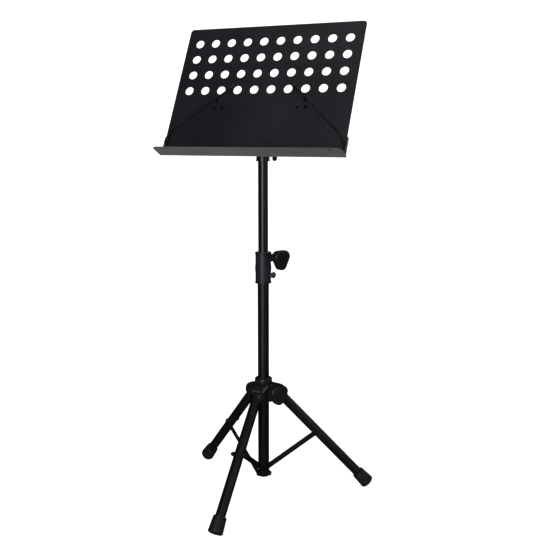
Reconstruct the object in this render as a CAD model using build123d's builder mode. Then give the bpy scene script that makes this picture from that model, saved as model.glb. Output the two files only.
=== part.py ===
from build123d import *
import os
from math import atan2, cos, degrees, hypot, radians, sin, sqrt

# An orchestral music stand: perforated steel desk on a two-part telescopic column, with a
# folding tripod. X runs along the desk, the reader stands on the -Y side, Z is up.
# The origin is on the floor, at the middle of the tripod's footprint. Millimetres, degrees.

# ---- clearances -------------------------------------------------------------------------
running = 0.1           # radial, a pin or tube turning or sliding in its bore
side_gap = 0.3          # between flat faces that move past each other

# ---- tripod -----------------------------------------------------------------------------
leg_azimuths = {"front": -90, "right": 30, "left": 150}
leg_angle = 47.3        # below the horizontal, legs open
leg_length = 354        # hinge pin to the end of the rubber foot
leg_dia = 25
leg_wall = 1.2
leg_pin_clear = 13      # between the column and a folded leg
leg_pin_dia = 6
knuckle_reach = 14      # hinge pin to the end of the tube
knuckle_stem = 32       # length of the knuckle inside the tube
foot_length = 40
foot_wall_top = 4       # rubber round the tube at the boot's rim
foot_wall_end = 6.2     # and at its lower end
foot_sole = 7           # rubber under the tube's end
foot_round = 3
foot_flat = 1.2         # worn flat where the foot meets the floor

# ---- braces -----------------------------------------------------------------------------
brace_leg_reach = 158   # hinge pin to the brace rivet, along the leg
brace_width = 14
brace_thickness = 2
brace_pivot_lift = 8    # brace pivot above the bottom of the column
brace_stud_dia = 6
brace_head_dia = 11
brace_head_height = 3
brace_shoulder_dia = 10
rivet_dia = 5
cap_nut_flats = 10.5
cap_nut_height = 5
cap_nut_dome = 9
cap_nut_length = 10
spacer_dia = 12
spacer_thickness = 2.5
brace_tube_gap = 0.8    # least, between a brace and the column

# ---- column -----------------------------------------------------------------------------
column_ground_gap = 44
tube_step = 4           # the lower tube is this much wider than the upper
lower_tube_wall = 1.2
upper_tube_dia = 25
upper_tube_wall = 1.2
neck_step = 2
plug_rim = 2
plug_depth = 26
sleeve_length = 28
cap_height = 4
cap_depth = 14
upper_tube_bottom = 290
socket_bottom = 866     # underside of the desk socket, with the desk as set

# ---- height collar ----------------------------------------------------------------------
collar_bottom = 560
collar_height = 79
collar_wall = 5.3       # round the lower tube
collar_flange_step = 1
collar_flange = 5
collar_band_step = 0.8
collar_band_bottom = 30
collar_band_height = 17
collar_groove = 1.2
collar_seat = 42        # depth of the lower tube in the collar
collar_clearance = 0.4  # radial, collar wall round the upper tube
bush_wall = 2.25
bush_length = 6
pinch_azimuth = 20
pinch_height = 20       # above the collar's bottom
pinch_stand = 5.8       # pinch screw from the collar's side
pinch_ear_dia = 13.6
pinch_web = 9
pinch_ear_width = 18
pinch_slit = 2
pinch_slit_height = 38
pinch_screw_dia = 5
pinch_head_dia = 8.5
pinch_head_depth = 4.5
pinch_nut_flats = 8
pinch_nut_depth = 4

# ---- clamp knobs: height, hub -----------------------------------------------------------
height_knob_azimuth = -20
height_knob_lift = 67   # above the collar's bottom
height_boss_length = 8.2
hub_knob_azimuth = -30
hub_boss_length = 11.5
knob_dia = 55
knob_lobe_dia = 30
knob_thickness = 16.5
knob_taper = 15
knob_neck_dia = 14
knob_neck = 10
knob_edge = 5.5
knob_screw_dia = 8
screw_pitch = 1.25
knob_screw_grip = 18    # screw inside the knob
insert_dia = 12
insert_length = 9
boss_dia = 20
pad_dia = 10
pad_thickness = 3
loosen_travel = screw_pitch

# ---- hub --------------------------------------------------------------------------------
hub_ring_step = 3
hub_sleeve_wall = 5
hub_ring_height = 15
hub_ring_round = 5
hub_above_pin = 42
hub_below_pin = 22
hub_knob_lift = 12      # knob axis above the hinge pins
hood_wall = 7
hood_cap = 7.5
hood_round = 10
hood_rim = 12           # ears beyond the hinge pin, along the open leg
hood_lip = 3            # the cap over the leg ends here
hood_shoulder = 27      # top of the hood above the hinge pin, at the sleeve
leg_pin_head_dia = 11
leg_pin_head = 2.5

# ---- desk socket and tilt joint ---------------------------------------------------------
socket_wall = 4
socket_height = 58
socket_lip_step = 1
socket_lip = 4
socket_floor = 6        # solid above the tube's end
socket_boss_dia = 16
socket_boss_length = 5.5
socket_screw_lift = 18
socket_screw_dia = 6
socket_pad_dia = 8
socket_pad_thickness = 2
socket_pad_room = 4.5   # pocket for the pad, from the upper tube
wing_height = 35
wing_width = 11
wing_thickness = 4.5
wing_hub_dia = 11
wing_gap = 4            # between the boss and the wing
tilt_height = 945       # tilt pivot, with the desk as set
tilt_angle = 27.2       # desk leans back from the vertical
tongue_width = 14
tongue_dia = 28
tilt_bolt_dia = 8
friction_washer = 1
friction_washer_dia = 24
cheek_thickness = 2.5
cheek_nose = 15
tilt_head_dia = 18
tilt_head_height = 4
spring_washer = 1.6
spring_washer_dia = 18
tilt_knob_dia = 40
tilt_knob_lobe_dia = 21
tilt_knob_thickness = 13
tilt_bolt_end = 24      # bolt inside the knob, from the pivot's middle

# ---- desk -------------------------------------------------------------------------------
desk_standoff = 44.9    # desk's front face from the tilt pivot
desk_width = 476
desk_top = 262.2        # desk's top edge above the pivot, along the desk
desk_bottom = -93.8
desk_thickness = 1.2
desk_corner = 9
hole_dia = 22.5
hole_pitch = 45
hole_columns = 10
hole_rows = 4
hole_margin = 44.5        # top row's centres under the top edge
bracket_thickness = 2.5
bracket_half_width = 131
bracket_low = 22
bracket_high = 65
bracket_corner = 8
bracket_flange = 10
bracket_foot = -26      # lowest point of the cheeks at the desk
bracket_rivets = [(115.6, 52.5), (99.5, 33), (120.3, 33)]
bracket_rivet_dia = 4.8
rivet_head_dia = 8
rivet_head = 2.2
ledge_overhang = 6.5    # shelf beyond the desk's sides
ledge_depth = 44        # in front of the desk's face
ledge_thickness = 1.5
ledge_flange_overhang = 4
ledge_flange = 52
ledge_corner = 13
ledge_flange_corner = 8
ledge_hole_dia = 7
ledge_hole_inset = 32
ledge_hole_edge = 8
ledge_rivets_x = [60, 190]
ledge_rivet_up = 25     # above the shelf
ledge_rivet_dia = 4

# ---- page arms --------------------------------------------------------------------------
arm_pivot_inset = 4     # from the desk's side edge
arm_pivot_height = -60.8
arm_bend_run = (19.4, 25.2)     # from the pivot
arm_tip_run = (155.2, 153)
arm_rise = 17.5         # the bend's height over the desk
arm_tip_rise = 4.6
arm_wire_dia = 3
arm_eye_dia = 11
arm_eye_thickness = 2.4
arm_eye_run = 8         # wire's flat run, from the pivot
arm_bend_radius = 9
arm_start_radius = 4
arm_screw_dia = 4
arm_screw_head_dia = 9
arm_screw_head = 2.6
arm_nut_flats = 7
arm_nut = 3.2
arm_tip_dia = 7
arm_tip_length = 14
arm_tip_round = 3.2

# ---- worked-out sizes and places --------------------------------------------------------
lower_tube_dia = upper_tube_dia + tube_step
upper_tube_neck_dia = upper_tube_dia - neck_step
leg_pin_radius = lower_tube_dia / 2 + leg_pin_clear + leg_dia / 2
foot_dia_end = leg_dia + 2 * foot_wall_end
collar_dia = lower_tube_dia + 2 * collar_wall
collar_flange_dia = collar_dia + 2 * collar_flange_step
collar_band_dia = collar_dia + 2 * collar_band_step
bush_dia = upper_tube_dia + 2 * bush_wall
pinch_reach = collar_dia / 2 + pinch_stand
height_boss_reach = collar_dia / 2 + height_boss_length
hub_sleeve_dia = lower_tube_dia + 2 * hub_sleeve_wall
hub_ring_dia = hub_sleeve_dia + 2 * hub_ring_step
hub_boss_reach = hub_sleeve_dia / 2 + hub_boss_length
socket_dia = upper_tube_dia + 2 * socket_wall
socket_lip_dia = socket_dia + 2 * socket_lip_step
socket_boss_reach = socket_dia / 2 + socket_boss_length
wing_start = socket_boss_reach + wing_gap
ledge_width = desk_width + 2 * ledge_overhang
ledge_flange_width = desk_width + 2 * ledge_flange_overhang
arm_pivot = (desk_width / 2 - arm_pivot_inset, arm_pivot_height)
arm_bend = (arm_pivot[0] - arm_bend_run[0], arm_pivot[1] + arm_bend_run[1])
arm_tip = (arm_pivot[0] - arm_tip_run[0], arm_pivot[1] + arm_tip_run[1])

open_cos = cos(radians(leg_angle))
open_sin = sin(radians(leg_angle))
foot_radius_end = foot_dia_end / 2
foot_end_height = (
    (foot_radius_end - foot_round) * open_cos + foot_round * (1 - open_sin) - foot_flat
)
foot_end_radius = leg_pin_radius + leg_length * open_cos
leg_pin_height = foot_end_height + leg_length * open_sin

# Reach of the feet from the column axis, forwards and backwards, to centre the footprint.
rim_radius = foot_radius_end - foot_round
rim_centre = foot_end_radius - foot_round * open_cos
back_share = sin(radians(leg_azimuths["right"]))
reach_front = rim_centre + rim_radius * open_sin + foot_round
reach_back = (
    rim_centre * back_share
    + rim_radius * hypot(open_sin * back_share, sqrt(1 - back_share**2))
    + foot_round
)
column_y = (reach_front - reach_back) / 2

stand = Plane(origin=(0, column_y, 0))
column_axis = Axis((0, column_y, 0), (0, 0, 1))

lower_tube_bore = lower_tube_dia - 2 * lower_tube_wall
collar_top = collar_bottom + collar_height
lower_tube_top = collar_bottom + collar_seat
brace_pivot_height = column_ground_gap + brace_pivot_lift
brace_near = max(  # strap's near face from the leg's middle plane
    leg_dia / 2 + side_gap + spacer_thickness,
    lower_tube_dia / 2 + brace_tube_gap,
)
brace_far = brace_near + brace_thickness
brace_joint = (  # in the leg's upright plane, from the column axis and the floor
    leg_pin_radius + brace_leg_reach * open_cos,
    leg_pin_height - brace_leg_reach * open_sin,
)
hub_bottom = leg_pin_height - hub_below_pin
hub_top = leg_pin_height + hub_above_pin
slot_width = leg_dia + 2 * side_gap
hood_width = slot_width + 2 * hood_wall
hood_bore = leg_dia + 2 * side_gap
upper_tube_top = socket_bottom + socket_height - socket_floor
cheek_inner = tongue_width / 2 + friction_washer + side_gap
cheek_outer = cheek_inner + cheek_thickness

# The desk's own plane: through the tilt pivot, X along the desk, Y up the desk, Z to the reader.
lean = radians(tilt_angle)
desk = Plane(origin=(0, column_y, tilt_height), x_dir=(1, 0, 0), z_dir=(0, -cos(lean), sin(lean)))
desk_back = desk_standoff - desk_thickness
hole_centre = desk_top - hole_margin - (hole_rows - 1) * hole_pitch / 2


def facing(azimuth, height, radius=0):
    """Plane at a radius from the column axis: Z points outwards, Y up, X round the column."""
    turn = radians(azimuth)
    out = Vector(cos(turn), sin(turn), 0)
    place = Vector(0, column_y, height) + out * radius
    return Plane(origin=place, x_dir=(-sin(turn), cos(turn), 0), z_dir=out)


def leg_side(azimuth, offset=0):
    """Upright plane through a leg: X out from the column axis, Y up, Z to the leg's right hand."""
    turn = radians(azimuth)
    plane = Plane(
        origin=(0, column_y, 0),
        x_dir=(cos(turn), sin(turn), 0),
        z_dir=(sin(turn), -cos(turn), 0),
    )
    return plane.offset(offset)


def leg_line(azimuth):
    """Plane at a leg's hinge pin: Z runs down the open leg, X level."""
    side = leg_side(azimuth)
    pin = side.from_local_coords(Vector(leg_pin_radius, leg_pin_height, 0))
    down = side.x_dir * open_cos - side.y_dir * open_sin
    return Plane(origin=pin, x_dir=side.z_dir, z_dir=down)


def finish(piece, name):
    """Label a finished piece and write it to its own file."""
    piece.label = name
    export_step(piece, f"parts/{name}.step")


os.makedirs("parts", exist_ok=True)

# ==== lower tube, with its bottom plug and the three brace studs ==========================
with BuildPart() as lower_tube:
    tube_start = column_ground_gap + plug_rim
    with BuildSketch(stand.offset(tube_start)):
        Circle(lower_tube_dia / 2)
        Circle(lower_tube_bore / 2, mode=Mode.SUBTRACT)
    extrude(amount=lower_tube_top - tube_start)
    for azimuth in leg_azimuths.values():
        with BuildSketch(facing(azimuth + 90, brace_pivot_height)):
            Circle(brace_shoulder_dia / 2)
        extrude(amount=lower_tube_dia, mode=Mode.SUBTRACT)
finish(lower_tube.part, "lower_tube")

with BuildPart() as column_plug:
    with BuildSketch(stand.offset(column_ground_gap)):
        Circle(lower_tube_dia / 2)
    extrude(amount=plug_rim)
    with BuildSketch(stand.offset(column_ground_gap + plug_rim)):
        Circle(lower_tube_bore / 2)
    extrude(amount=plug_depth - plug_rim)
    fillet(column_plug.edges().group_by(Axis.Z)[0], plug_rim / 2)
    stud_root = 5
    for azimuth in leg_azimuths.values():
        with BuildSketch(facing(azimuth + 90, brace_pivot_height, stud_root)):
            Circle(brace_shoulder_dia / 2)
        extrude(amount=lower_tube_dia, mode=Mode.SUBTRACT)
finish(column_plug.part, "column_plug")

with BuildPart() as brace_studs:
    for azimuth in leg_azimuths.values():
        with BuildSketch(facing(azimuth + 90, brace_pivot_height, stud_root)):
            Circle(brace_shoulder_dia / 2)
        extrude(amount=brace_near - side_gap - stud_root)
        with BuildSketch(facing(azimuth + 90, brace_pivot_height, brace_near - side_gap)):
            Circle(brace_stud_dia / 2)
        extrude(amount=brace_thickness + 2 * side_gap)
        head_start = brace_far + side_gap
        with BuildSketch(facing(azimuth + 90, brace_pivot_height, head_start)):
            RegularPolygon(brace_head_dia / 2, 6)
        extrude(amount=brace_head_height)
finish(brace_studs.part, "brace_studs")

# ==== height collar, pinched on the lower tube ===========================================
with BuildPart() as height_collar:
    with BuildSketch(stand.offset(collar_bottom)):
        Circle(collar_dia / 2)
    extrude(amount=collar_height)
    for flange_start in (collar_bottom, collar_top - collar_flange):
        with BuildSketch(stand.offset(flange_start)):
            Circle(collar_flange_dia / 2)
        extrude(amount=collar_flange)
    with BuildSketch(stand.offset(collar_bottom + collar_band_bottom)):
        Circle(collar_band_dia / 2)
    extrude(amount=collar_band_height)
    groove_radius = collar_dia / 2 - collar_groove
    for groove in (collar_band_bottom - collar_groove, collar_band_bottom + collar_band_height):
        with BuildSketch(stand.offset(collar_bottom + groove)):
            Circle(collar_flange_dia / 2)
            Circle(groove_radius, mode=Mode.SUBTRACT)
        extrude(amount=collar_groove, mode=Mode.SUBTRACT)
    flange_edges = height_collar.edges().filter_by(GeomType.CIRCLE).filter_by(
        lambda e: abs(e.radius - collar_flange_dia / 2) < 0.01
    )
    fillet(flange_edges, 0.7)
    # boss for the height knob's insert
    with BuildSketch(facing(height_knob_azimuth, collar_bottom + height_knob_lift)):
        Circle(boss_dia / 2)
    extrude(amount=height_boss_reach)
    # ears for the pinch screw, either side of the slit
    ear = facing(pinch_azimuth, collar_bottom + pinch_height)
    ear_side = Plane(origin=ear.origin, x_dir=ear.z_dir, z_dir=ear.x_dir)
    with BuildSketch(ear_side):
        with Locations((pinch_reach, 0)):
            Circle(pinch_ear_dia / 2)
        with Locations((pinch_reach / 2, 0)):
            Rectangle(pinch_reach, pinch_web)
    extrude(amount=pinch_ear_width / 2, both=True)
    # bores: lower tube, upper tube, bush
    with BuildSketch(stand.offset(collar_bottom)):
        Circle(lower_tube_dia / 2)
    extrude(amount=collar_seat, mode=Mode.SUBTRACT)
    with BuildSketch(stand.offset(collar_bottom)):
        Circle(upper_tube_dia / 2 + collar_clearance)
    extrude(amount=collar_height, mode=Mode.SUBTRACT)
    with BuildSketch(stand.offset(collar_top - bush_length)):
        Circle(bush_dia / 2)
    extrude(amount=bush_length, mode=Mode.SUBTRACT)
    # slit between the ears, screw hole, head and nut pockets
    with BuildSketch(facing(pinch_azimuth, collar_bottom + pinch_slit_height / 2)):
        Rectangle(pinch_slit, pinch_slit_height)
    extrude(amount=pinch_reach + pinch_ear_dia, mode=Mode.SUBTRACT)
    with BuildSketch(ear_side):
        with Locations((pinch_reach, 0)):
            Circle(pinch_screw_dia / 2)
    extrude(amount=pinch_ear_width, both=True, mode=Mode.SUBTRACT)
    head_floor = pinch_ear_width / 2 - pinch_head_depth
    with BuildSketch(ear_side.offset(-head_floor)):
        with Locations((pinch_reach, 0)):
            Circle(pinch_head_dia / 2)
    extrude(amount=-pinch_head_depth, mode=Mode.SUBTRACT)
    nut_floor = pinch_ear_width / 2 - pinch_nut_depth
    with BuildSketch(ear_side.offset(nut_floor)):
        with Locations((pinch_reach, 0)):
            RegularPolygon(pinch_nut_flats / 2, 6, major_radius=False)
    extrude(amount=pinch_nut_depth, mode=Mode.SUBTRACT)
    # the knob's screw and brake pad pass through the boss
    with BuildSketch(facing(height_knob_azimuth, collar_bottom + height_knob_lift)):
        Circle(pad_dia / 2 + running)
    extrude(amount=height_boss_reach - insert_length, mode=Mode.SUBTRACT)
    insert_start = height_boss_reach - insert_length
    with BuildSketch(facing(height_knob_azimuth, collar_bottom + height_knob_lift, insert_start)):
        Circle(insert_dia / 2)
    extrude(amount=insert_length, mode=Mode.SUBTRACT)
finish(height_collar.part, "height_collar")

with BuildPart() as collar_bush:
    with BuildSketch(stand.offset(collar_top - bush_length)):
        Circle(bush_dia / 2)
        Circle(upper_tube_dia / 2 + running, mode=Mode.SUBTRACT)
    extrude(amount=bush_length)
finish(collar_bush.part, "collar_bush")

with BuildPart() as pinch_screw:
    with BuildSketch(ear_side.offset(-head_floor)):
        with Locations((pinch_reach, 0)):
            Circle(pinch_screw_dia / 2)
    extrude(amount=head_floor + pinch_ear_width / 2)
    with BuildSketch(ear_side.offset(-head_floor)):
        with Locations((pinch_reach, 0)):
            Circle(pinch_head_dia / 2)
    extrude(amount=-pinch_head_depth)
    socket_depth = pinch_head_depth / 2
    with BuildSketch(ear_side.offset(socket_depth - pinch_ear_width / 2)):
        with Locations((pinch_reach, 0)):
            RegularPolygon(pinch_screw_dia / 2, 6)
    extrude(amount=-socket_depth, mode=Mode.SUBTRACT)
finish(pinch_screw.part, "pinch_screw")

with BuildPart() as pinch_nut:
    with BuildSketch(ear_side.offset(nut_floor)):
        with Locations((pinch_reach, 0)):
            RegularPolygon(pinch_nut_flats / 2, 6, major_radius=False)
            Circle(pinch_screw_dia / 2, mode=Mode.SUBTRACT)
    extrude(amount=pinch_nut_depth)
finish(pinch_nut.part, "pinch_nut")

# ==== hub: slides on the lower tube and carries the legs ==================================
def hub_hood(azimuth):
    """Smooth hood from the sleeve to round a hinge pin, its ears cut square to the open leg."""
    with BuildPart() as hood:
        with BuildSketch(leg_side(azimuth)):
            with Locations((leg_pin_radius, leg_pin_height)):
                Circle(hood_bore / 2 + hood_cap)
            hood_low = hub_bottom - leg_pin_height
            with Locations((hub_sleeve_dia / 4, leg_pin_height + (hood_shoulder + hood_low) / 2)):
                Rectangle(hub_sleeve_dia / 2, hood_shoulder - hood_low)
            make_hull()
        extrude(amount=hood_width / 2, both=True)
        across = Axis((0, 0, 0), leg_side(azimuth).z_dir)
        sides = hood.faces().sort_by(across)
        outward = Axis((0, column_y, 0), leg_side(azimuth).x_dir)
        side_edges = (sides[0].edges() + sides[-1].edges()).sort_by(outward)[2:]
        fillet(side_edges, hood_round)
        with BuildSketch(leg_side(azimuth)):
            with Locations(Location((leg_pin_radius, leg_pin_height), -leg_angle)):
                with Locations((hood_rim + leg_length / 2, 0)):
                    Rectangle(leg_length, leg_length)
        extrude(amount=hood_width, both=True, mode=Mode.SUBTRACT)
        with BuildSketch(leg_side(azimuth)):
            with Locations(Location((leg_pin_radius, leg_pin_height), -leg_angle)):
                with Locations((hood_lip + leg_length / 2, 0)):
                    Rectangle(leg_length, leg_length)
        extrude(amount=slot_width / 2, both=True, mode=Mode.SUBTRACT)
    return hood.part


hoods = [hub_hood(azimuth) for azimuth in leg_azimuths.values()]
with BuildPart() as hub_body:
    with BuildSketch(stand.offset(hub_bottom)):
        Circle(hub_sleeve_dia / 2)
    extrude(amount=hub_top - hub_bottom)
    with BuildSketch(stand.offset(hub_top - hub_ring_height)):
        Circle(hub_ring_dia / 2)
    extrude(amount=hub_ring_height)
    fillet(hub_body.edges().group_by(Axis.Z)[-1], hub_ring_round)
    ring_under = hub_body.edges().filter_by(GeomType.CIRCLE).filter_by(
        lambda e: abs(e.radius - hub_ring_dia / 2) < 0.01
    )
    fillet(ring_under.sort_by(Axis.Z)[0], hub_ring_step - 0.5)
    add(hoods)
    with BuildSketch(facing(hub_knob_azimuth, leg_pin_height + hub_knob_lift)):
        Circle(boss_dia / 2)
    extrude(amount=hub_boss_reach)
    for azimuth in leg_azimuths.values():
        # slot the leg swings in, from open to folded
        with BuildSketch(leg_side(azimuth)):
            swing_end = leg_length / 3
            with Locations((leg_pin_radius, leg_pin_height)):
                Circle(hood_bore / 2)
            with Locations((leg_pin_radius, leg_pin_height - swing_end)):
                Circle(hood_bore / 2)
            open_end = (
                leg_pin_radius + swing_end * open_cos,
                leg_pin_height - swing_end * open_sin,
            )
            with Locations(open_end):
                Circle(hood_bore / 2)
            make_hull()
        extrude(amount=slot_width / 2, both=True, mode=Mode.SUBTRACT)
        with BuildSketch(leg_side(azimuth)):
            with Locations((leg_pin_radius, leg_pin_height)):
                Circle(leg_pin_dia / 2)
        extrude(amount=hood_width, both=True, mode=Mode.SUBTRACT)
    with BuildSketch(stand.offset(hub_bottom - hub_sleeve_dia)):
        Circle(lower_tube_dia / 2 + running)
    extrude(amount=hub_top - hub_bottom + 2 * hub_sleeve_dia, mode=Mode.SUBTRACT)
    with BuildSketch(facing(hub_knob_azimuth, leg_pin_height + hub_knob_lift)):
        Circle(pad_dia / 2 + running)
    extrude(amount=hub_boss_reach - insert_length, mode=Mode.SUBTRACT)
    insert_start = hub_boss_reach - insert_length
    with BuildSketch(facing(hub_knob_azimuth, leg_pin_height + hub_knob_lift, insert_start)):
        Circle(insert_dia / 2)
    extrude(amount=insert_length, mode=Mode.SUBTRACT)
finish(hub_body.part, "hub_body")

with BuildPart() as leg_pins:
    for azimuth in leg_azimuths.values():
        with BuildSketch(leg_side(azimuth)):
            with Locations((leg_pin_radius, leg_pin_height)):
                Circle(leg_pin_dia / 2)
        extrude(amount=hood_width / 2, both=True)
        for side in (1, -1):
            with BuildSketch(leg_side(azimuth, side * hood_width / 2)):
                with Locations((leg_pin_radius, leg_pin_height)):
                    Circle(leg_pin_head_dia / 2)
            extrude(amount=side * leg_pin_head, taper=25)
finish(leg_pins.part, "leg_pins")


# ==== clamp sets: brake pad, threaded insert, screw and knob ==============================
def clamp_insert(azimuth, height, boss_reach):
    """Brass insert moulded in the end of a boss."""
    with BuildPart() as insert:
        with BuildSketch(facing(azimuth, height, boss_reach - insert_length)):
            Circle(insert_dia / 2)
            Circle(knob_screw_dia / 2 + running, mode=Mode.SUBTRACT)
        extrude(amount=insert_length)
    return insert.part


def clamp_pad(azimuth, height, tube_dia):
    """Nylon pad between the screw's tip and the tube, hollowed to the tube's radius."""
    with BuildPart() as pad:
        with BuildSketch(facing(azimuth, height)):
            Circle(pad_dia / 2)
        extrude(amount=tube_dia / 2 + running + pad_thickness)
        with BuildSketch(stand.offset(height - pad_dia)):
            Circle(tube_dia / 2 + running)
        extrude(amount=2 * pad_dia, mode=Mode.SUBTRACT)
    return pad.part


def clamp_screw(azimuth, height, tube_dia, boss_reach):
    """Steel screw from the pad to inside the knob."""
    start = tube_dia / 2 + running + pad_thickness
    end = boss_reach + side_gap + loosen_travel + knob_screw_grip
    with BuildPart() as screw:
        with BuildSketch(facing(azimuth, height, start)):
            Circle(knob_screw_dia / 2)
        extrude(amount=end - start)
        chamfer(screw.edges().filter_by(GeomType.CIRCLE), 0.6)
    return screw.part


def three_lobes(outer_dia, lobe_dia):
    """Rounded triangle of three lobes, drawn in the sketch it is called in."""
    with PolarLocations((outer_dia - lobe_dia) / 2, 3, start_angle=-90):
        Circle(lobe_dia / 2)
    make_hull()


def clamp_knob(azimuth, height, boss_reach):
    """Moulded knob: round neck, flaring back, three-lobed head."""
    start = boss_reach + side_gap + loosen_travel
    head = start + knob_neck + knob_taper
    with BuildPart() as knob:
        with BuildSketch(facing(azimuth, height, start)):
            Circle(knob_neck_dia / 2)
        extrude(amount=knob_neck)
        with BuildSketch(facing(azimuth, height, start + knob_neck)):
            Circle(knob_neck_dia / 2)
        with BuildSketch(facing(azimuth, height, head)):
            three_lobes(knob_dia, knob_lobe_dia)
        loft()
        with BuildSketch(facing(azimuth, height, head)):
            three_lobes(knob_dia, knob_lobe_dia)
        extrude(amount=knob_thickness)
        outward = facing(azimuth, height).z_dir
        front_edges = knob.faces().sort_by(Axis((0, 0, 0), outward))[-1].edges()
        fillet(front_edges, knob_edge)
        with BuildSketch(facing(azimuth, height, start)):
            Circle(knob_screw_dia / 2)
        extrude(amount=knob_screw_grip, mode=Mode.SUBTRACT)
    return knob.part


clamps = {
    "height": (height_knob_azimuth, collar_bottom + height_knob_lift, upper_tube_dia, height_boss_reach),
    "hub": (hub_knob_azimuth, leg_pin_height + hub_knob_lift, lower_tube_dia, hub_boss_reach),
}
for clamp, (azimuth, height, tube_dia, boss_reach) in clamps.items():
    finish(clamp_insert(azimuth, height, boss_reach), f"{clamp}_knob_insert")
    finish(clamp_pad(azimuth, height, tube_dia), f"{clamp}_brake_pad")
    finish(clamp_screw(azimuth, height, tube_dia, boss_reach), f"{clamp}_knob_screw")
    finish(clamp_knob(azimuth, height, boss_reach), f"{clamp}_knob")


# ==== legs ===============================================================================
def leg_tube(azimuth):
    """Steel tube from the knuckle to inside the rubber foot."""
    with BuildPart() as tube:
        with BuildSketch(leg_line(azimuth).offset(knuckle_reach)):
            Circle(leg_dia / 2)
            Circle(leg_dia / 2 - leg_wall, mode=Mode.SUBTRACT)
        extrude(amount=leg_length - foot_sole - knuckle_reach)
        with BuildSketch(leg_side(azimuth)):
            with Locations(brace_joint):
                Circle(rivet_dia / 2)
        extrude(amount=leg_dia, both=True, mode=Mode.SUBTRACT)
    return tube.part


def leg_knuckle(azimuth):
    """Nylon end: a ball round the hinge pin with a stem pressed in the tube."""
    line = leg_line(azimuth)
    with BuildPart() as knuckle:
        with Locations(line):
            Sphere(leg_dia / 2)
        with BuildSketch(line):
            Circle(leg_dia / 2)
        extrude(amount=knuckle_reach)
        with BuildSketch(line.offset(knuckle_reach)):
            Circle(leg_dia / 2 - leg_wall)
        extrude(amount=knuckle_stem)
        with BuildSketch(leg_side(azimuth)):
            with Locations((leg_pin_radius, leg_pin_height)):
                Circle(leg_pin_dia / 2 + running)
        extrude(amount=leg_dia, both=True, mode=Mode.SUBTRACT)
    return knuckle.part


def leg_foot(azimuth):
    """Flared rubber boot over the tube's end, worn flat where it stands on the floor."""
    line = leg_line(azimuth)
    rim_dia = leg_dia + 2 * foot_wall_top
    with BuildPart() as foot:
        with BuildSketch(line.offset(leg_length - foot_length)):
            Circle(rim_dia / 2)
        with BuildSketch(line.offset(leg_length)):
            Circle(foot_dia_end / 2)
        loft()
        rims = foot.edges().filter_by(GeomType.CIRCLE).sort_by(SortBy.RADIUS)
        fillet(rims[-1], foot_round)
        fillet(foot.edges().filter_by(GeomType.CIRCLE).sort_by(Axis.Z)[-1], 1.2)
        with BuildSketch(line.offset(leg_length - foot_length)):
            Circle(leg_dia / 2)
        extrude(amount=foot_length - foot_sole, mode=Mode.SUBTRACT)
        with BuildSketch(Plane.XY):
            with Locations((0, column_y)):
                Rectangle(4 * leg_length, 4 * leg_length)
        extrude(amount=-leg_length, mode=Mode.SUBTRACT)
    return foot.part


def leg_rivet(azimuth):
    """Brace bolt through the leg: a cap nut on the right-hand side, flush on the left."""
    with BuildPart() as rivet:
        with BuildSketch(leg_side(azimuth)):
            with Locations(brace_joint):
                Circle(rivet_dia / 2)
        extrude(amount=leg_dia / 2, both=True)
        with BuildSketch(leg_side(azimuth, leg_dia / 2)):
            with Locations(brace_joint):
                RegularPolygon(cap_nut_flats / 2, 6, major_radius=False)
        extrude(amount=cap_nut_height)
        with BuildSketch(leg_side(azimuth, leg_dia / 2)):
            with Locations(brace_joint):
                Circle(cap_nut_dome / 2)
        extrude(amount=cap_nut_length)
        outer = rivet.faces().sort_by(Axis((0, 0, 0), leg_side(azimuth).z_dir))[-1].edges()
        fillet(outer, 3)
    return rivet.part


def brace_strap(azimuth):
    """Flat steel strap on the leg's left-hand side, from the column's foot to the leg."""
    reach, height = brace_joint
    rise = height - brace_pivot_height
    slope = degrees(atan2(rise, reach))
    middle = (reach / 2, brace_pivot_height + rise / 2)
    with BuildPart() as strap:
        with BuildSketch(leg_side(azimuth, -brace_near)):
            with Locations(Location(middle, slope)):
                SlotCenterToCenter(hypot(reach, rise), brace_width)
            with Locations((0, brace_pivot_height)):
                Circle(brace_stud_dia / 2 + running, mode=Mode.SUBTRACT)
            with Locations((reach, height)):
                Circle(rivet_dia / 2, mode=Mode.SUBTRACT)
        extrude(amount=-brace_thickness)
    return strap.part


def brace_rivet(azimuth):
    """Brace's half of the rivet: a spacer against the leg, the shank and a domed head."""
    with BuildPart() as rivet:
        near = leg_dia / 2 + side_gap
        layers = (
            (near, brace_near, spacer_dia),
            (brace_near, brace_far, rivet_dia),
            (brace_far, brace_far + brace_head_height, brace_head_dia),
        )
        for start, end, diameter in layers:
            with BuildSketch(leg_side(azimuth, -start)):
                with Locations(brace_joint):
                    Circle(diameter / 2)
            extrude(amount=start - end)
        outer = rivet.faces().sort_by(Axis((0, 0, 0), leg_side(azimuth).z_dir))[0].edges()
        fillet(outer, 1.5)
    return rivet.part


for leg, azimuth in leg_azimuths.items():
    finish(leg_tube(azimuth), f"leg_tube_{leg}")
    finish(leg_knuckle(azimuth), f"leg_knuckle_{leg}")
    finish(leg_foot(azimuth), f"leg_foot_{leg}")
    finish(leg_rivet(azimuth), f"leg_rivet_{leg}")
    finish(brace_strap(azimuth), f"brace_strap_{leg}")
    finish(brace_rivet(azimuth), f"brace_rivet_{leg}")

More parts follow.
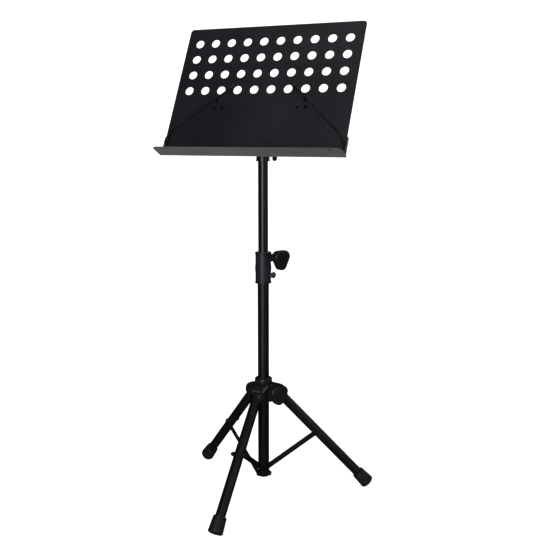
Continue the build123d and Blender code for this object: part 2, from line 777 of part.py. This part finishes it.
# ==== upper tube, with the glide sleeve and cap at its lower end ==========================
neck_length = sleeve_length + 2 * side_gap
with BuildPart() as upper_tube:
    with BuildSketch(stand.offset(upper_tube_bottom + neck_length)):
        Circle(upper_tube_dia / 2)
    extrude(amount=upper_tube_top - upper_tube_bottom - neck_length)
    with BuildSketch(stand.offset(upper_tube_bottom)):
        Circle(upper_tube_neck_dia / 2)
    extrude(amount=neck_length)
    with BuildSketch(stand.offset(upper_tube_bottom)):
        Circle(upper_tube_neck_dia / 2 - upper_tube_wall)
    extrude(amount=upper_tube_top - upper_tube_bottom, mode=Mode.SUBTRACT)
finish(upper_tube.part, "upper_tube")

with BuildPart() as glide_sleeve:
    with BuildSketch(stand.offset(upper_tube_bottom + side_gap)):
        Circle(lower_tube_bore / 2 - running)
        Circle(upper_tube_neck_dia / 2 + running, mode=Mode.SUBTRACT)
    extrude(amount=sleeve_length)
finish(glide_sleeve.part, "glide_sleeve")

with BuildPart() as tube_cap:
    with BuildSketch(stand.offset(upper_tube_bottom - cap_height)):
        Circle(upper_tube_dia / 2)
    extrude(amount=cap_height)
    with BuildSketch(stand.offset(upper_tube_bottom)):
        Circle(upper_tube_neck_dia / 2 - upper_tube_wall)
    extrude(amount=cap_depth)
    chamfer(tube_cap.edges().group_by(Axis.Z)[0], 1)
finish(tube_cap.part, "tube_cap")

# ==== desk socket: grips the upper tube and carries the tilt pivot ========================
socket_top = socket_bottom + socket_height
across_tilt = Plane(origin=(0, column_y, tilt_height), x_dir=(0, 1, 0), z_dir=(1, 0, 0))
with BuildPart() as desk_socket:
    with BuildSketch(stand.offset(socket_bottom)):
        Circle(socket_dia / 2)
    extrude(amount=socket_height)
    with BuildSketch(stand.offset(socket_bottom)):
        Circle(socket_lip_dia / 2)
    extrude(amount=socket_lip)
    fillet(desk_socket.edges().group_by(Axis.Z)[-1], 2)
    with BuildSketch(across_tilt):
        Circle(tongue_dia / 2)
        with Locations((0, (socket_top - tilt_height - socket_floor) / 2)):
            Rectangle(tongue_dia, tilt_height - socket_top + socket_floor)
    extrude(amount=tongue_width / 2, both=True)
    with BuildSketch(facing(0, socket_bottom + socket_screw_lift)):
        Circle(socket_boss_dia / 2)
    extrude(amount=socket_boss_reach)
    with BuildSketch(stand.offset(socket_bottom)):
        Circle(upper_tube_dia / 2)
    extrude(amount=upper_tube_top - socket_bottom, mode=Mode.SUBTRACT)
    with BuildSketch(facing(0, socket_bottom + socket_screw_lift)):
        Circle(socket_screw_dia / 2 + running)
    extrude(amount=socket_dia, mode=Mode.SUBTRACT)
    with BuildSketch(facing(0, socket_bottom + socket_screw_lift)):
        Circle(socket_pad_dia / 2 + running)
    extrude(amount=upper_tube_dia / 2 + socket_pad_room, mode=Mode.SUBTRACT)
    with BuildSketch(across_tilt):
        Circle(tilt_bolt_dia / 2 + running)
    extrude(amount=tongue_width, both=True, mode=Mode.SUBTRACT)
finish(desk_socket.part, "desk_socket")

with BuildPart() as socket_pad:
    screw_height = socket_bottom + socket_screw_lift
    with BuildSketch(facing(0, screw_height, upper_tube_dia / 2 + running)):
        Circle(socket_pad_dia / 2)
    extrude(amount=socket_pad_thickness)
finish(socket_pad.part, "socket_pad")

with BuildPart() as socket_wing_screw:
    screw_tip = upper_tube_dia / 2 + running + socket_pad_thickness + side_gap
    with BuildSketch(facing(0, screw_height, screw_tip)):
        Circle(socket_screw_dia / 2)
    extrude(amount=wing_start - screw_tip)
    with BuildSketch(facing(0, screw_height, wing_start)):
        Circle(wing_hub_dia / 2)
    extrude(amount=wing_width)
    wing_plane = Plane(
        origin=(wing_start + wing_width / 2, column_y, screw_height),
        x_dir=(1, 0, 0),
        z_dir=(0, -1, 0),
    )
    with BuildSketch(wing_plane):
        SlotOverall(wing_height, wing_width, rotation=90)
    extrude(amount=wing_thickness / 2, both=True)
finish(socket_wing_screw.part, "socket_wing_screw")

# ==== tilt joint =========================================================================
with BuildPart() as friction_washers:
    for side in (1, -1):
        with BuildSketch(across_tilt.offset(side * tongue_width / 2)):
            Circle(friction_washer_dia / 2)
            Circle(tilt_bolt_dia / 2 + running, mode=Mode.SUBTRACT)
        extrude(amount=side * friction_washer)
finish(friction_washers.part, "friction_washers")

with BuildPart() as tilt_bolt:
    with BuildSketch(across_tilt.offset(-cheek_outer)):
        Circle(tilt_bolt_dia / 2)
    extrude(amount=cheek_outer + tilt_bolt_end)
    with BuildSketch(across_tilt.offset(-cheek_outer)):
        Circle(tilt_head_dia / 2)
    extrude(amount=-tilt_head_height)
    fillet(tilt_bolt.edges().group_by(Axis.X)[0], 2.5)
finish(tilt_bolt.part, "tilt_bolt")

knob_start = cheek_outer + side_gap + spring_washer
with BuildPart() as tilt_washer:
    with BuildSketch(across_tilt.offset(cheek_outer + side_gap)):
        Circle(spring_washer_dia / 2)
        Circle(tilt_bolt_dia / 2 + running, mode=Mode.SUBTRACT)
    extrude(amount=spring_washer)
finish(tilt_washer.part, "tilt_washer")

with BuildPart() as tilt_knob:
    tilt_knob_face = across_tilt.offset(knob_start + side_gap)
    with BuildSketch(tilt_knob_face):
        Circle(knob_neck_dia / 2)
    extrude(amount=knob_neck)
    with BuildSketch(tilt_knob_face.offset(knob_neck)):
        three_lobes(tilt_knob_dia, tilt_knob_lobe_dia)
    extrude(amount=tilt_knob_thickness)
    fillet(tilt_knob.faces().sort_by(Axis.X)[-1].edges(), 3)
    with BuildSketch(tilt_knob_face):
        Circle(tilt_bolt_dia / 2 + running)
    extrude(amount=tilt_bolt_end - knob_start, mode=Mode.SUBTRACT)
finish(tilt_knob.part, "tilt_knob")

# ==== desk bracket: bent steel, riveted to the back of the desk ===========================
bracket_face = desk_back - bracket_thickness
with BuildPart() as desk_bracket:
    with BuildSketch(desk.offset(bracket_face)):
        with Locations((0, (bracket_low + bracket_high) / 2)):
            RectangleRounded(2 * bracket_half_width, bracket_high - bracket_low, bracket_corner)
        with Locations((0, (bracket_foot + bracket_high) / 2)):
            Rectangle(2 * cheek_outer, bracket_high - bracket_foot)
        with Locations(*[(s * x, y) for x, y in bracket_rivets for s in (1, -1)]):
            Circle(bracket_rivet_dia / 2, mode=Mode.SUBTRACT)
    extrude(amount=bracket_thickness)
    # stiffening flange along the top edge
    with BuildSketch(desk.offset(bracket_face - bracket_flange)):
        with Locations((0, bracket_high - bracket_thickness / 2)):
            Rectangle(2 * (bracket_half_width - bracket_corner), bracket_thickness)
    extrude(amount=bracket_flange)
    # two cheeks reaching back to the tilt bolt
    cheek_plane = Plane(origin=desk.origin, x_dir=desk.z_dir, z_dir=-desk.x_dir)
    for side in (1, -1):
        with BuildSketch(cheek_plane.offset(side * cheek_inner)):
            Circle(cheek_nose)
            with Locations((bracket_face - 1, (bracket_foot + bracket_high) / 2)):
                Rectangle(2, bracket_high - bracket_foot)
            make_hull()
            Circle(tilt_bolt_dia / 2, mode=Mode.SUBTRACT)
        extrude(amount=side * cheek_thickness)
finish(desk_bracket.part, "desk_bracket")

with BuildPart() as bracket_rivets_set:
    rivet_places = [(s * x, y) for x, y in bracket_rivets for s in (1, -1)]
    with BuildSketch(desk.offset(bracket_face)):
        with Locations(*rivet_places):
            Circle(bracket_rivet_dia / 2)
    extrude(amount=desk_standoff - bracket_face)
    with BuildSketch(desk.offset(desk_standoff)):
        with Locations(*rivet_places):
            Circle(rivet_head_dia / 2)
    extrude(amount=rivet_head, taper=30)
    with BuildSketch(desk.offset(bracket_face)):
        with Locations(*rivet_places):
            Circle(rivet_head_dia / 2)
    extrude(amount=-rivet_head / 2, taper=30)
finish(bracket_rivets_set.part, "bracket_rivets")

# ==== desk plate and ledge ===============================================================
ledge_rivet_places = [
    (s * x, desk_bottom + ledge_rivet_up) for x in ledge_rivets_x for s in (1, -1)
]
arm_places = [(s * arm_pivot[0], arm_pivot[1]) for s in (1, -1)]
with BuildPart() as desk_plate:
    with BuildSketch(desk.offset(desk_standoff)) as plate_outline:
        with Locations((0, (desk_top + desk_bottom) / 2)):
            Rectangle(desk_width, desk_top - desk_bottom)
        fillet(plate_outline.vertices().group_by(Axis.Y)[-1], desk_corner)
        with Locations((0, hole_centre)):
            with GridLocations(hole_pitch, hole_pitch, hole_columns, hole_rows):
                Circle(hole_dia / 2, mode=Mode.SUBTRACT)
        with Locations(*rivet_places):
            Circle(bracket_rivet_dia / 2, mode=Mode.SUBTRACT)
        with Locations(*ledge_rivet_places):
            Circle(ledge_rivet_dia / 2, mode=Mode.SUBTRACT)
        with Locations(*arm_places):
            Circle(arm_screw_dia / 2, mode=Mode.SUBTRACT)
    extrude(amount=-desk_thickness)
finish(desk_plate.part, "desk_plate")

flange_back = desk_back - ledge_thickness
shelf_bottom = desk_bottom - ledge_thickness
shelf_front = desk_standoff + ledge_depth
shelf_plane = Plane(
    origin=desk.from_local_coords(Vector(0, shelf_bottom, 0)), x_dir=(1, 0, 0), z_dir=-desk.y_dir
)
with BuildPart() as ledge:
    with BuildSketch(desk.offset(flange_back)) as flange_outline:
        with Locations((0, (shelf_bottom + desk_bottom + ledge_flange) / 2)):
            Rectangle(ledge_flange_width, desk_bottom + ledge_flange - shelf_bottom)
        fillet(flange_outline.vertices().group_by(Axis.Y)[-1], ledge_flange_corner)
        with Locations(*ledge_rivet_places):
            Circle(ledge_rivet_dia / 2, mode=Mode.SUBTRACT)
        with Locations(*arm_places):
            Circle(arm_screw_dia / 2, mode=Mode.SUBTRACT)
    extrude(amount=ledge_thickness)
    with BuildSketch(shelf_plane) as shelf_outline:
        with Locations((0, (shelf_front + flange_back) / 2)):
            Rectangle(ledge_width, shelf_front - flange_back)
        fillet(shelf_outline.vertices().group_by(Axis.Y)[-1], ledge_corner)
        with Locations((0, shelf_front - ledge_hole_edge)):
            with GridLocations(ledge_width - 2 * ledge_hole_inset, 0, 2, 1):
                Circle(ledge_hole_dia / 2, mode=Mode.SUBTRACT)
    extrude(amount=-ledge_thickness)
finish(ledge.part, "ledge")

with BuildPart() as ledge_rivets:
    with BuildSketch(desk.offset(flange_back)):
        with Locations(*ledge_rivet_places):
            Circle(ledge_rivet_dia / 2)
    extrude(amount=desk_standoff - flange_back)
    with BuildSketch(desk.offset(flange_back)):
        with Locations(*ledge_rivet_places):
            Circle(rivet_head_dia / 2)
    extrude(amount=-rivet_head, taper=30)
finish(ledge_rivets.part, "ledge_rivets")

# ==== page arms ==========================================================================
arm_eye_back = desk_standoff + side_gap
with BuildPart() as arm_screws:
    with BuildSketch(desk.offset(flange_back - arm_nut)):
        with Locations(*arm_places):
            Circle(arm_screw_dia / 2)
    screw_seat = arm_eye_back + arm_eye_thickness + side_gap
    extrude(amount=screw_seat - flange_back + arm_nut)
    with BuildSketch(desk.offset(screw_seat)):
        with Locations(*arm_places):
            Circle(arm_screw_head_dia / 2)
    extrude(amount=arm_screw_head)
    fillet(arm_screws.edges().group_by(Axis(desk.origin, desk.z_dir))[-1], 1.5)
finish(arm_screws.part, "arm_screws")

with BuildPart() as arm_nuts:
    with BuildSketch(desk.offset(flange_back)):
        with Locations(*arm_places):
            RegularPolygon(arm_nut_flats / 2, 6, major_radius=False)
            Circle(arm_screw_dia / 2, mode=Mode.SUBTRACT)
    extrude(amount=-arm_nut)
finish(arm_nuts.part, "arm_nuts")


def page_arm_points(side):
    """Pivot, end of the flat run, bend and tip of a wire arm, in the desk's own plane."""
    run_x = arm_bend[0] - arm_pivot[0]
    run_y = arm_bend[1] - arm_pivot[1]
    share = arm_eye_run / hypot(run_x, run_y)
    level = arm_eye_back + arm_wire_dia / 2
    return [
        (side * arm_pivot[0], arm_pivot[1], level),
        (side * (arm_pivot[0] + share * run_x), arm_pivot[1] + share * run_y, level),
        (side * arm_bend[0], arm_bend[1], desk_standoff + arm_rise),
        (side * arm_tip[0], arm_tip[1], desk_standoff + arm_tip_rise),
    ]


def page_arm(side):
    """Bent steel wire with a flat eye round the pivot screw."""
    points = [desk.from_local_coords(Vector(*p)) for p in page_arm_points(side)]
    with BuildPart() as arm:
        with BuildLine() as wire:
            FilletPolyline(*points, radius=[arm_start_radius, arm_bend_radius])
        start = Plane(origin=wire.line @ 0, z_dir=wire.line % 0)
        with BuildSketch(start):
            Circle(arm_wire_dia / 2)
        sweep(path=wire.line)
        with BuildSketch(desk.offset(arm_eye_back)):
            with Locations((side * arm_pivot[0], arm_pivot[1])):
                Circle(arm_eye_dia / 2)
        extrude(amount=arm_eye_thickness)
        with BuildSketch(desk.offset(arm_eye_back - arm_eye_thickness)):
            with Locations((side * arm_pivot[0], arm_pivot[1])):
                Circle(arm_screw_dia / 2 + running)
        extrude(amount=4 * arm_eye_thickness, mode=Mode.SUBTRACT)
        with BuildSketch(desk.offset(screw_seat - side_gap)):
            with Locations((side * arm_pivot[0], arm_pivot[1])):
                Circle(arm_screw_head_dia / 2 + side_gap)
        extrude(amount=arm_screw_head + arm_wire_dia, mode=Mode.SUBTRACT)
    return arm.part


def page_arm_tip(side):
    """Soft sleeve pushed on the wire's end."""
    points = [desk.from_local_coords(Vector(*p)) for p in page_arm_points(side)]
    along = (points[3] - points[2]).normalized()
    sleeve_start = Plane(origin=points[3] - along * (arm_tip_length - arm_tip_dia / 2), z_dir=along)
    with BuildPart() as tip:
        with BuildSketch(sleeve_start):
            Circle(arm_tip_dia / 2)
        extrude(amount=arm_tip_length)
        fillet(tip.edges().sort_by(Axis(points[2], along))[-1], arm_tip_round)
        with BuildSketch(sleeve_start):
            Circle(arm_wire_dia / 2)
        extrude(amount=arm_tip_length - arm_tip_dia / 2, mode=Mode.SUBTRACT)
    return tip.part


for name, side in (("right", 1), ("left", -1)):
    finish(page_arm(side), f"page_arm_{name}")
    finish(page_arm_tip(side), f"page_arm_tip_{name}")
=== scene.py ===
from math import cos, pi, radians, sin

import bmesh
import bpy
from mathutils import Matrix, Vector


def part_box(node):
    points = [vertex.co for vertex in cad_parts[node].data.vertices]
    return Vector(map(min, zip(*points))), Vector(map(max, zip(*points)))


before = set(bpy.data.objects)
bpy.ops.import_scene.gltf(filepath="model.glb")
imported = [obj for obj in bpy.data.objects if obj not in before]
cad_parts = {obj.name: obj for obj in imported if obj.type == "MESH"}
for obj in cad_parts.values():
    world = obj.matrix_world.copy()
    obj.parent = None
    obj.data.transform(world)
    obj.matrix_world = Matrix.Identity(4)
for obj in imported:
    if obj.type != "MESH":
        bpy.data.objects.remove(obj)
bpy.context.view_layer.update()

# ---- Column tubes ------------------------------------------------------------------------
# Two drawn steel tubes, one sliding in the other, powder coated semi-gloss black. The coat
# has a fine orange peel, a few dull patches and slightly rubbed edges.


class Wire:
    """One output of a shader node. Python's operators on it lay down the maths nodes."""

    def __init__(self, tree, socket):
        self.tree = tree
        self.socket = socket

    def node(self, kind, settings=None, sockets=None, out=0):
        """Any other node in the same tree, with its settings and socket values."""
        made = self.tree.nodes.new(kind)
        for name, value in (settings or {}).items():
            setattr(made, name, value)
        for name, value in (sockets or {}).items():
            self.feed(made.inputs[name], value)
        return Wire(self.tree, made.outputs[out])

    def feed(self, target, value):
        if isinstance(value, Wire):
            self.tree.links.new(value.socket, target)
        elif target.type == "RGBA" and len(value) == 3:
            target.default_value = (*value, 1.0)
        else:
            target.default_value = value

    def maths(self, operation, *values):
        made = self.tree.nodes.new("ShaderNodeMath")
        made.operation = operation
        for target, value in zip(made.inputs, values):
            self.feed(target, value)
        return Wire(self.tree, made.outputs[0])

    def __add__(self, other):
        return self.maths("ADD", self, other)

    def __radd__(self, other):
        return self.maths("ADD", other, self)

    def __sub__(self, other):
        return self.maths("SUBTRACT", self, other)

    def __rsub__(self, other):
        return self.maths("SUBTRACT", other, self)

    def __mul__(self, other):
        return self.maths("MULTIPLY", self, other)

    def __rmul__(self, other):
        return self.maths("MULTIPLY", other, self)

    def ramp(self, low, high):
        """0 below low, 1 above high, smooth between."""
        return self.node(
            "ShaderNodeMapRange",
            {"interpolation_type": "SMOOTHSTEP"},
            {"Value": self, "From Min": low, "From Max": high},
        )

    def mix(self, a, b):
        """Colour a where this is 0 and colour b where it is 1."""
        made = self.tree.nodes.new("ShaderNodeMix")
        made.data_type = "RGBA"
        self.feed(made.inputs[0], self)
        self.feed(made.inputs[6], a)
        self.feed(made.inputs[7], b)
        return Wire(self.tree, made.outputs[2])

    def noise(self, scale, detail=3.0, roughness=0.5, stretch=(1, 1, 1)):
        """Noise with this as its place, scale in lumps per metre."""
        place = self.node("ShaderNodeVectorMath", {"operation": "MULTIPLY"}, {0: self, 1: stretch})
        sockets = {"Vector": place, "Scale": scale, "Detail": detail, "Roughness": roughness}
        return place.node("ShaderNodeTexNoise", {"noise_dimensions": "3D"}, sockets)


def new_finish(name):
    """An empty material: its name, the place on the piece, and the surface to fill in."""
    material = bpy.data.materials.new(name)
    material.use_nodes = True
    tree = material.node_tree
    surface = tree.nodes["Principled BSDF"]
    place = Wire(tree, tree.nodes.new("ShaderNodeTexCoord").outputs["Object"])
    return material, place, surface


def bump(place, height, strength, distance):
    """Normal from a height, in a bump node of its own."""
    return place.node(
        "ShaderNodeBump", {}, {"Height": height, "Strength": strength, "Distance": distance}
    )


def worn_edge(place, radius, low, high):
    """1 on sharp outer edges, from how far a rounded normal turns from the true one."""
    rounded = place.node("ShaderNodeBevel", {"samples": 4}, {"Radius": radius})
    true = place.node("ShaderNodeNewGeometry", out=1)
    product = {"operation": "DOT_PRODUCT"}
    agreement = place.node("ShaderNodeVectorMath", product, {0: rounded, 1: true}, 1)
    return (1.0 - agreement).ramp(low, high)


def coated_steel(name, colour, lighter, rough, peel, speckle):
    """Powder coat: cloudy tone, orange peel, a fine speckle and slightly rubbed edges."""
    material, place, surface = new_finish(name)
    clouds = place.noise(9, 3)
    fine = place.noise(2600, 2)
    lumps = place.noise(900, 2)
    dust = place.noise(160, 4, 0.6).ramp(0.58, 0.78)
    edge = worn_edge(place, 0.0009, 0.02, 0.25) * place.noise(420, 3).ramp(0.35, 0.65)
    tone = clouds.ramp(0.3, 0.7).mix(colour, lighter)
    tone = (fine.ramp(0.45, 0.75) * speckle).mix(tone, tuple(3.2 * c for c in lighter))
    tone = (edge * 0.35).mix(tone, (0.11, 0.115, 0.12))
    place.feed(surface.inputs["Base Color"], tone)
    place.feed(surface.inputs["Roughness"], clouds * 0.10 + dust * 0.07 + rough - edge * 0.1)
    place.feed(surface.inputs["Normal"], bump(place, lumps + fine * 0.6, peel, 0.0004))
    surface.inputs["Specular IOR Level"].default_value = 0.42
    return material


def paint(material, *nodes):
    """Gives the model's own pieces a finish in place of their plain one."""
    for node in nodes:
        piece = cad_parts[node]
        for index in range(len(piece.material_slots)):
            piece.material_slots[index].material = material
        if not piece.material_slots:
            piece.data.materials.append(material)


tube_black = coated_steel(
    "tube_black", (0.0025, 0.0027, 0.003), (0.0042, 0.0045, 0.005), 0.30, 0.10, 0.06
)
paint(tube_black, "lower_tube", "upper_tube")

# ---- Column foot and brace studs ---------------------------------------------------------
# A nylon plug pressed in the column's lower end. Three steel studs screw through it and the
# tube, each with a round shoulder for its brace and a hexagon head, black oxide.


def dark_steel(name, colour, rough):
    """Black oxide: oily dark steel with a faint blue cast and bright rubbed edges."""
    material, place, surface = new_finish(name)
    blotch = place.noise(120, 4, 0.6)
    scratch = place.noise(1400, 2, 0.5, (1, 1, 0.08))
    edge = worn_edge(place, 0.0005, 0.03, 0.3)
    tone = blotch.ramp(0.3, 0.75).mix(colour, tuple(1.7 * c for c in colour))
    tone = (edge * 0.5).mix(tone, (0.22, 0.22, 0.22))
    place.feed(surface.inputs["Base Color"], tone)
    place.feed(surface.inputs["Roughness"], blotch * 0.15 + rough)
    place.feed(surface.inputs["Normal"], bump(place, scratch + blotch, 0.12, 0.0002))
    surface.inputs["Metallic"].default_value = 0.75
    return material


def moulded(name, colour, lighter, rough, grain):
    """Moulded plastic: fine spark-eroded grain, cloudy tone, dulled high spots."""
    material, place, surface = new_finish(name)
    spark = place.noise(3400, 2, 0.55)
    clouds = place.noise(26, 3)
    flow = place.noise(70, 3, 0.5, (1, 1, 0.25))
    edge = worn_edge(place, 0.0008, 0.03, 0.3) * clouds.ramp(0.35, 0.6)
    tone = clouds.ramp(0.3, 0.75).mix(colour, lighter)
    tone = (edge * 0.4).mix(tone, tuple(2.2 * c for c in lighter))
    place.feed(surface.inputs["Base Color"], tone)
    place.feed(surface.inputs["Roughness"], flow * 0.12 + rough)
    place.feed(surface.inputs["Normal"], bump(place, spark + clouds * 0.4, grain, 0.0003))
    surface.inputs["Specular IOR Level"].default_value = 0.4
    return material


oxide_steel = dark_steel("oxide_steel", (0.014, 0.0145, 0.0155), 0.34)
wire_black = dark_steel("wire_black", (0.0035, 0.0035, 0.004), 0.36)
hub_plastic = moulded(
    "hub_plastic", (0.0075, 0.0077, 0.0066), (0.012, 0.0123, 0.0105), 0.24, 0.10
)
paint(hub_plastic, "column_plug")
paint(oxide_steel, "brace_studs")

# ---- Height collar -----------------------------------------------------------------------
# Glass-filled nylon moulding pinched on the lower tube by a cap screw and nut, with a natural
# nylon bush for the upper tube and a brass insert for the knob's screw.
collar_plastic = moulded(
    "collar_plastic", (0.0075, 0.0085, 0.012), (0.011, 0.0125, 0.017), 0.38, 0.10
)
paint(collar_plastic, "height_collar")


def plated(name, colour, rough):
    """Bright plated or turned metal, with fine turning lines and dull patches."""
    material, place, surface = new_finish(name)
    patch = place.noise(90, 4, 0.6)
    lines = place.noise(2500, 1, 0.5)
    tone = patch.ramp(0.35, 0.75).mix(colour, tuple(0.8 * c for c in colour))
    place.feed(surface.inputs["Base Color"], tone)
    place.feed(surface.inputs["Roughness"], patch * 0.2 + rough)
    place.feed(surface.inputs["Normal"], bump(place, lines, 0.08, 0.0002))
    surface.inputs["Metallic"].default_value = 1.0
    return material


zinc = plated("zinc", (0.62, 0.63, 0.64), 0.25)
turned_brass = plated("turned_brass", (0.78, 0.58, 0.27), 0.25)
natural_nylon = moulded("natural_nylon", (0.66, 0.64, 0.58), (0.74, 0.72, 0.66), 0.45, 0.06)
paint(wire_black, "pinch_screw", "pinch_nut")
paint(natural_nylon, "collar_bush", "glide_sleeve")
paint(natural_nylon, "height_brake_pad", "hub_brake_pad", "socket_pad")
paint(turned_brass, "height_knob_insert", "hub_knob_insert")
paint(zinc, "height_knob_screw", "hub_knob_screw")

# ---- Hub ---------------------------------------------------------------------------------
# One nylon moulding: a sleeve on the lower tube with three hooded forks, each holding a leg
# on a steel pin. The hoods are smooth and slightly glossy from the mould.
paint(hub_plastic, "hub_body")
paint(oxide_steel, "leg_pins")

# ---- Clamp knobs -------------------------------------------------------------------------
# Three-lobed nylon knobs, each moulded over the head of a zinc plated screw, with a fine
# spark-eroded grain. The tilt knob is the same moulding on a plain bolt.
knob_plastic = moulded("knob_plastic", (0.006, 0.006, 0.005), (0.010, 0.010, 0.0083), 0.28, 0.14)
paint(knob_plastic, "height_knob", "hub_knob", "tilt_knob")

# ---- Legs and feet -----------------------------------------------------------------------
# Powder coated steel tubes riveted to nylon knuckles, with flared rubber boots pushed on
# their lower ends. Flat steel straps brace them from the column, on oxide black rivets.
rubber = moulded("rubber", (0.0042, 0.0046, 0.0048), (0.0068, 0.0072, 0.0074), 0.46, 0.20)
for leg in ("front", "right", "left"):
    paint(tube_black, f"leg_tube_{leg}", f"brace_strap_{leg}")
    paint(hub_plastic, f"leg_knuckle_{leg}")
    paint(rubber, f"leg_foot_{leg}")
    paint(oxide_steel, f"leg_rivet_{leg}", f"brace_rivet_{leg}")

# ---- Desk socket and tilt joint ----------------------------------------------------------
# Moulded socket clamped on the upper tube by a wing screw, its tongue pinched between the
# desk bracket's cheeks by a bolt with fibre washers and a knob.
paint(hub_plastic, "desk_socket", "tube_cap", "socket_wing_screw")
paint(natural_nylon, "friction_washers")
paint(oxide_steel, "tilt_bolt", "tilt_washer")

# ---- Desk --------------------------------------------------------------------------------
# Pressed sheet steel with punched holes, powder coated fine matt black, riveted to a bent bracket
# and to the folded ledge. The ledge wears the same black coat, but its colour is painted paler:
# painted light for the floor's light on its underside. The bracket's rivets are glossy black.
desk_black = coated_steel(
    "desk_black", (0.0048, 0.0054, 0.0085), (0.0075, 0.0084, 0.0125), 0.42, 0.30, 0.10
)
# Painted light: the ledge's base colour is a paler copy of the black coat, standing in for the
# white floor's light on its underside.
ledge_black_painted_light = coated_steel(
    "ledge_black_painted_light", (0.068, 0.068, 0.064), (0.09, 0.09, 0.085), 0.40, 0.12, 0.06
)
ledge_black_painted_light.node_tree.nodes["Principled BSDF"].inputs["Specular IOR Level"].default_value = 0.8
paint(desk_black, "desk_plate", "desk_bracket", "ledge_rivets")
paint(ledge_black_painted_light, "ledge")
gloss_black = moulded("gloss_black", (0.0015, 0.0015, 0.0017), (0.0025, 0.0025, 0.003), 0.12, 0.03)
paint(gloss_black, "bracket_rivets")
paint(oxide_steel, "arm_screws", "arm_nuts")

# ---- Page arms ---------------------------------------------------------------------------
# Bent spring wire with a flat eye, black oxide, with a soft sleeve on each tip.
paint(wire_black, "page_arm_left", "page_arm_right")
paint(rubber, "page_arm_tip_left", "page_arm_tip_right")

# ---- Studio ------------------------------------------------------------------------------
# A seamless paper sweep, white and evenly lit, with large soft lights around the stand and
# the camera at the reader's right.
scene = bpy.context.scene
floor_front = -1.15
floor_back = 2.2
half_width = 2.9
bend_radius = 1.6
bend_steps = 12
wall_top = 3.6

profile = [(floor_front, 0.0), (floor_back, 0.0)]
for step in range(1, bend_steps + 1):
    turn = step / bend_steps * pi / 2
    profile.append((floor_back + bend_radius * sin(turn), bend_radius - bend_radius * cos(turn)))
profile.append((floor_back + bend_radius, wall_top))
sweep = bmesh.new()
rows = [[sweep.verts.new((x, y, z)) for y, z in profile] for x in (-half_width, half_width)]
for index in range(len(profile) - 1):
    corners = (rows[0][index], rows[1][index], rows[1][index + 1], rows[0][index + 1])
    sweep.faces.new(corners).smooth = True
sweep_mesh = bpy.data.meshes.new("studio_sweep")
sweep.to_mesh(sweep_mesh)
sweep.free()
backdrop = bpy.data.objects.new("studio_sweep", sweep_mesh)
scene.collection.objects.link(backdrop)
backdrop.rotation_euler = (0, 0, radians(23.3))
paper, place, surface = new_finish("white_paper")
tone = place.noise(2, 2).mix((0.93, 0.93, 0.93), (0.95, 0.95, 0.95))
place.feed(surface.inputs["Base Color"], tone)
place.feed(surface.inputs["Normal"], bump(place, place.noise(300, 2), 0.02, 0.0005))
surface.inputs["Roughness"].default_value = 0.9
surface.inputs["Specular IOR Level"].default_value = 0.0
surface.inputs["Emission Color"].default_value = (1.0, 1.0, 1.0, 1.0)
surface.inputs["Emission Strength"].default_value = 0.80
backdrop.data.materials.append(paper)
backdrop.visible_glossy = False

# The white world is seen directly but lights and tints nothing.
world = bpy.data.worlds.new("studio")
scene.world = world
world.use_nodes = True
sky = world.node_tree.nodes["Background"]
sky.inputs["Color"].default_value = (1.0, 1.0, 1.0, 1.0)
sky.inputs["Strength"].default_value = 1.0
world.cycles_visibility.diffuse = False
world.cycles_visibility.glossy = False


def soft_light(name, place, target, width, height, power):
    """A large rectangular light facing a point."""
    lamp = bpy.data.lights.new(name, "AREA")
    lamp.shape = "RECTANGLE"
    lamp.size = width
    lamp.size_y = height
    lamp.energy = power
    holder = bpy.data.objects.new(name, lamp)
    holder.location = place
    holder.rotation_euler = (Vector(target) - Vector(place)).to_track_quat("-Z", "Y").to_euler()
    scene.collection.objects.link(holder)


mid_height = (0, 0.1, 0.65)
soft_light("key", (0.5, -3.0, 1.25), mid_height, width=1.15, height=2.3, power=72)
soft_light("fill_right", (2.9, -0.6, 1.3), mid_height, width=0.6, height=2.4, power=7)
soft_light("rear_right", (1.7, 2.3, 1.5), (0, 0.1, 0.7), width=0.8, height=1.6, power=9)
soft_light("top", (-0.3, 0.6, 3.4), (0, 0.2, 0.3), width=2.0, height=2.0, power=26)

# The camera's place is measured from the column, and it looks slightly down.
right_of_column = 0.8402
in_front_of_column = 1.8729
eye_height = 0.9348
look_down = 9.805
look_left = 23.33
camera = bpy.data.cameras.new("camera")
camera.lens = 53.83
camera.sensor_width = 36
camera.clip_end = 50
viewer = bpy.data.objects.new("camera", camera)
tube_low, tube_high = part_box("lower_tube")
column_y = (tube_low[1] + tube_high[1]) / 2
viewer.location = (right_of_column, column_y - in_front_of_column, eye_height)
viewer.rotation_euler = (radians(90 - look_down), 0, radians(look_left))
scene.collection.objects.link(viewer)
scene.camera = viewer
scene.view_settings.view_transform = "Standard"
